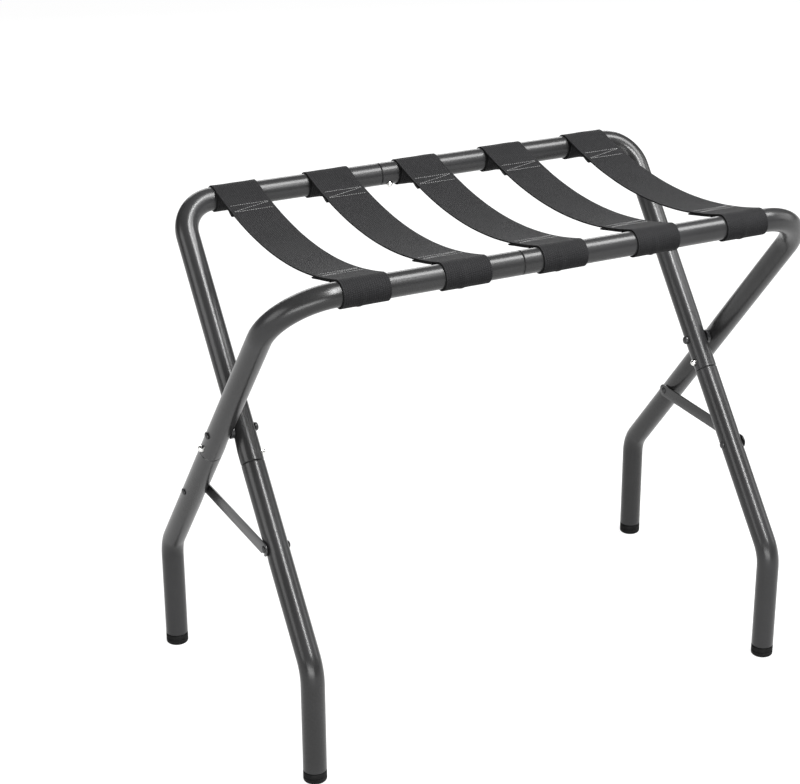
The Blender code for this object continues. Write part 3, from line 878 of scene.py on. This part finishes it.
LEAVE = leave_angle()
CURVE = math.tan(LEAVE) / 2 / (HALF_SPAN - WEB_R * math.sin(LEAVE))
UNDER = THICK + FIT


def web_height(inwards):
    """Height of the open web over the rail's centre, at a distance in from it."""
    return WEB_R - SAG + CURVE * (HALF_SPAN - inwards) ** 2


def strap_line():
    """Points of half a strap, as distance in from the rail's centre and height over it."""
    tail = [SEAM_END - (SEAM_END - SEAM_START) * i / TAIL_STEPS for i in range(TAIL_STEPS + 1)]
    tail = [(a, web_height(a) - UNDER) for a in tail]
    reach = math.hypot(*tail[-1])
    touch = math.atan2(tail[-1][1], tail[-1][0]) - math.acos(WEB_R / reach)
    last = -1.5 * math.pi - LEAVE
    loop = [touch + (last - touch) * i / LOOP_STEPS for i in range(LOOP_STEPS + 1)]
    loop = [(WEB_R * math.cos(t), WEB_R * math.sin(t)) for t in loop]
    lead = [(tail[-1][0] + (loop[0][0] - tail[-1][0]) * i / LEAD_STEPS,
             tail[-1][1] + (loop[0][1] - tail[-1][1]) * i / LEAD_STEPS)
            for i in range(1, LEAD_STEPS)]
    start = loop[-1][0]
    web = [start + (HALF_SPAN - start) * i / WEB_STEPS for i in range(1, WEB_STEPS + 1)]
    return tail + lead + loop + [(a, web_height(a)) for a in web]


LINE = [Vector(point) for point in strap_line()]
RUNS = [0.0]
for before, after in zip(LINE, LINE[1:]):
    RUNS.append(RUNS[-1] + (after - before).length)
LENGTH = RUNS[-1]
print("half a strap is", round(1000 * LENGTH), "mm long and", round(1000 * STRAP_WIDTH), "mm wide")

# %% [markdown]
# The path becomes cloth in three moves. One point is extruded along the path to make a wire, the
# wire is extruded sideways in small steps to make a ribbon, and the ribbon is given its thickness.
# Two attributes keep each point's place on the flat cloth, and the weave is drawn from them. Every
# strap gets slightly different creases, because no two were sewn alike.

# %% Weave one half of a strap
ACROSS_STEPS = 24
FLARE = 0.055
FLARE_LENGTH = 0.012
WRINKLE = 0.00035
CREASE = 0.0007
CREASE_WIDTH = 0.045
SWELL = 0.0002
WRINKLES_ACROSS = 55
WRINKLES_ALONG = 38
WEB_CALM = 0.4
MIDDLE_FADE = 0.04
LOOP_FIRST = TAIL_STEPS + LEAD_STEPS
LOOP_START = RUNS[LOOP_FIRST - 1]
LOOP_END = RUNS[LOOP_FIRST + LOOP_STEPS]


def crease_at(name, u, run):
    """How far a point is pushed off the path by the pull of the stitches, in metres."""
    seed = Vector((sum(name.encode()) * 0.37, 0, 0))
    lean = noise.noise(seed)
    spot = seed + Vector((u * WRINKLES_ACROSS, run * WRINKLES_ALONG, 0))
    wrinkle = noise.noise(spot) * WRINKLE
    round_loop = (run - LOOP_START) / (LOOP_END - LOOP_START)
    if round_loop < 0:
        return 0
    if round_loop > 1:
        return wrinkle * WEB_CALM * min(1, (LENGTH - run) / MIDDLE_FADE)
    closeness = max(0, 1 - abs(2 * round_loop - 0.75))
    strength = math.sin(math.pi * min(1, 1.6 * closeness) / 2)
    place = -0.10 + 0.12 * lean
    fold = math.exp(-((u / STRAP_WIDTH - place) / CREASE_WIDTH) ** 2)
    return wrinkle + CREASE * strength * fold + SWELL * strength


def ribbon(name, centre_x, half):
    """The ribbon of one half, with its attributes, as a bmesh."""
    sign = 1 if half == "front" else -1
    bm = bmesh.new()
    run_layer = bm.verts.layers.float.new("run")
    across_layer = bm.verts.layers.float.new("across")
    seed = bm.verts.new((0, *LINE[0]))
    seed[run_layer] = RUNS[0]
    wire, last = [seed], seed
    for point, run in zip(LINE[1:], RUNS[1:]):
        made = bmesh.ops.extrude_vert_indiv(bm, verts=[last])["verts"][0]
        made.co = (0, *point)
        made[run_layer] = run
        wire.append(made)
        last = made
    edges = bm.edges[:]
    width = STRAP_WIDTH / ACROSS_STEPS
    bmesh.ops.translate(bm, verts=wire, vec=-X * STRAP_WIDTH / 2)
    for _ in range(ACROSS_STEPS):
        grown = bmesh.ops.extrude_edge_only(bm, edges=edges)["geom"]
        verts = verts_of(grown)
        fresh = set(verts)
        bmesh.ops.translate(bm, verts=verts, vec=X * width)
        edges = [edge for edge in edges_of(grown) if set(edge.verts) <= fresh]
    for vert in bm.verts:
        vert[across_layer] = vert.co.x + STRAP_WIDTH / 2
    bm.normal_update()
    bmesh.ops.recalc_face_normals(bm, faces=bm.faces)
    over_rail = RUNS[LOOP_FIRST + LOOP_STEPS // 2]
    outward = [v for v in bm.verts if abs(v[run_layer] - over_rail) < MERGE]
    facing = outward[0].normal.dot(Vector((0, outward[0].co.y, outward[0].co.z)))
    if facing < 0:
        bmesh.ops.reverse_faces(bm, faces=bm.faces)
    bm.normal_update()
    pushes = {v: v.normal * crease_at(name, v.co.x, v[run_layer]) for v in bm.verts}
    for vert, push in pushes.items():
        vert.co += push
    for vert in bm.verts:
        x, inwards, height = vert.co
        x *= 1 + FLARE * max(0, 1 - (vert[run_layer] / FLARE_LENGTH) ** 2)
        vert.co = Vector((centre_x + x, sign * (RAIL.y + inwards), RAIL.z + height))
    if sign < 0:
        bmesh.ops.reverse_faces(bm, faces=bm.faces)
    return bm


def thicken(bm):
    """Give the ribbon its thickness, half to each side of the path."""
    bm.normal_update()
    for vert in bm.verts:
        vert.co += vert.normal * THICK / 2
    bm.normal_update()
    bmesh.ops.solidify(bm, geom=bm.faces[:], thickness=THICK)


trial = ribbon("trial", 0, "front")
print("a half strap has", len(trial.faces), "faces before it is thickened")
trial.free()

# %% [markdown]
# ## The stitches
# The tail is sewn to the web with two rows across and a slanting row between them. Each stitch is
# a short thread that rises out of the cloth, runs over it and dives back in. A stitch is drawn as a
# thin rod and then bowed, with only a few faces because there are hundreds.

# %% Sew a seam
STITCH = 0.0026
STITCH_GAP = 0.0006
THREAD_R = 0.00036
ROD_STEPS = 6


def stitch_mesh():
    """One stitch a metre long, standing on the origin and bowed towards X."""
    bm = bmesh.new()
    bmesh.ops.create_circle(bm, cap_ends=True, radius=THREAD_R, segments=6)
    cap = bm.faces[:]
    for _ in range(ROD_STEPS):
        grown = bmesh.ops.extrude_face_region(bm, geom=cap)["geom"]
        bmesh.ops.translate(bm, verts=verts_of(grown), vec=(0, 0, 1 / ROD_STEPS))
        cap = [item for item in grown if isinstance(item, bmesh.types.BMFace)]
    for vert in bm.verts:
        vert.co.x += THREAD_R * (0.4 - 1.5 * (2 * vert.co.z - 1) ** 4)
    mesh = bpy.data.meshes.new("stitch")
    bm.to_mesh(mesh)
    bm.free()
    return mesh


STITCH_MESH = stitch_mesh()


def stitch(bm, start, end, rise):
    """One stitch between two points of the cloth, rising out of it."""
    bm.from_mesh(STITCH_MESH)
    fresh = bm.verts[-len(STITCH_MESH.vertices):]
    way = end - start
    across = way.normalized().cross(rise)
    turn = Matrix((rise, across, way)).transposed().to_4x4()
    bmesh.ops.transform(bm, matrix=Matrix.Translation(start) @ turn, verts=fresh)


def top_of_web(inwards, sign):
    """A point on the upper face of the web, and the way up from it."""
    slope = -2 * CURVE * (HALF_SPAN - inwards)
    out = Vector((0, -slope * sign, 1)).normalized()
    at = Vector((0, sign * (RAIL.y + inwards), RAIL.z + web_height(inwards)))
    return at + out * THICK / 2, out


def sew(bm, centre_x, sign, first, last):
    """A row of stitches between two places, each (across, distance in from the rail)."""
    span = math.hypot(last[0] - first[0], last[1] - first[1])
    count = round(span / STITCH)
    half_gap = STITCH_GAP / span / 2
    for number in range(count):
        ends = []
        for share in (number / count + half_gap, (number + 1) / count - half_gap):
            inwards = first[1] + (last[1] - first[1]) * share
            point, rise = top_of_web(inwards, sign)
            point.x = centre_x + first[0] + (last[0] - first[0]) * share
            ends.append(point)
        stitch(bm, *ends, rise)


ROW_NEAR = 0.043
ROW_FAR = 0.056
EDGE = 0.0035
SLANT_INSET = 0.001
print("a row across the strap has", round((STRAP_WIDTH - 2 * EDGE) / STITCH), "stitches")

# %% [markdown]
# ## Putting the straps on
# The five straps share the rail evenly. Each half is built as a length of webbing, and its stitches
# go with it on the same body.

# %% Ten half straps
halves = 0
for number in range(1, 6):
    for half, sign in (("front", 1), ("back", -1)):
        node = f"strap_{number}_{half}_half"
        low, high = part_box(node)
        centre_x = (low.x + high.x) / 2
        legs = OUTER if half == "front" else INNER
        bm = ribbon(node, centre_x, half)
        thicken(bm)
        strap = piece_from(f"webbing_{number}_{half}", bm, f"straps_{half}", "webbing",
                           webbing, node)
        bm = bmesh.new()
        side = STRAP_WIDTH / 2 - EDGE
        sew(bm, centre_x, sign, (-side, ROW_NEAR), (side, ROW_NEAR))
        sew(bm, centre_x, sign, (-side, ROW_FAR), (side, ROW_FAR))
        slant_near, slant_far = ROW_NEAR + SLANT_INSET, ROW_FAR - SLANT_INSET
        sew(bm, centre_x, sign, (-sign * side, slant_near), (sign * side, slant_far))
        stitches = piece_from(f"stitches_{number}_{half}", bm, f"straps_{half}", "webbing",
                              thread)
        rail = f"{legs.name}_top_{legs.rail_tube(centre_x)}"
        halves += 1
print(halves, "halves,", len(stitches.data.polygons), "faces of thread on the last")

# %% [markdown]
# ## The studio
# The rack stands on a pale floor that runs out of sight. Round steel shows its lights as streaks,
# so their shapes matter more than their strength: a soft box overhead lays a broad band along the
# top of each rail, and a narrow strip in front draws one thin line down each leg. The undersides
# mirror the pale floor softly. The floor throws no light of its own on the rack, or the shaded
# sides would lose their depth.

# %% Floor
FLOOR_SIZE = 12


def floor_finish():
    floor = Finish("studio_floor", Roughness=0.9, Specular_IOR_Level=0.0, Emission_Strength=0.92,
                   Emission_Color=(1, 1, 1, 1))
    mottle = floor.grain(3.0, 2.0)
    floor.feed("Base Color", floor.mix(mottle, (0.16, 0.16, 0.16, 1), (0.18, 0.18, 0.18, 1)))
    return floor.material


bm = bmesh.new()
bmesh.ops.create_grid(bm, x_segments=8, y_segments=8, size=FLOOR_SIZE)
mesh = bpy.data.meshes.new("floor")
bm.to_mesh(mesh)
bm.free()
mesh.materials.append(floor_finish())
floor = bpy.data.objects.new("floor", mesh)
bpy.context.collection.objects.link(floor)
floor.visible_diffuse = False

# %% Lights
SKY = 0.12


def soft_box(name, way, distance, size, power, aim=(0, 0, 0.4)):
    """An area light seen along a direction from the rack, with its width along X."""
    way = Vector(way).normalized()
    data = bpy.data.lights.new(name, "AREA")
    data.shape = "RECTANGLE"
    data.size, data.size_y = size
    data.energy = power
    light = bpy.data.objects.new(name, data)
    bpy.context.collection.objects.link(light)
    across = (X - way * X.dot(way)).normalized()
    turn = Matrix((across, way.cross(across), way)).transposed().to_4x4()
    light.matrix_world = Matrix.Translation(Vector(aim) + way * distance) @ turn
    return light


soft_box("overhead", (0.434, -0.263, 0.862), 2.4, (1.7, 0.95), 84)
soft_box("front_strip", (0.109, -0.618, 0.779), 2.4, (0.36, 1.4), 74)
soft_box("left_fill", (-0.957, -0.02, 0.29), 2.6, (1.2, 1.6), 22)
soft_box("right_fill", (0.93, -0.2, 0.30), 2.6, (1.2, 1.6), 15)
soft_box("front_fill", (-0.45, -0.89, 0.06), 3.0, (2.6, 0.8), 60)
soft_box("back_fill", (0.3, 0.9, 0.3), 3.0, (2.6, 1.2), 34)

world = bpy.data.worlds.new("studio")
bpy.context.scene.world = world
world.use_nodes = True
world.node_tree.nodes["Background"].inputs["Color"].default_value = (1, 1, 1, 1)
world.node_tree.nodes["Background"].inputs["Strength"].default_value = SKY
bpy.context.scene.view_settings.view_transform = "Standard"
print("six lights and a soft sky")
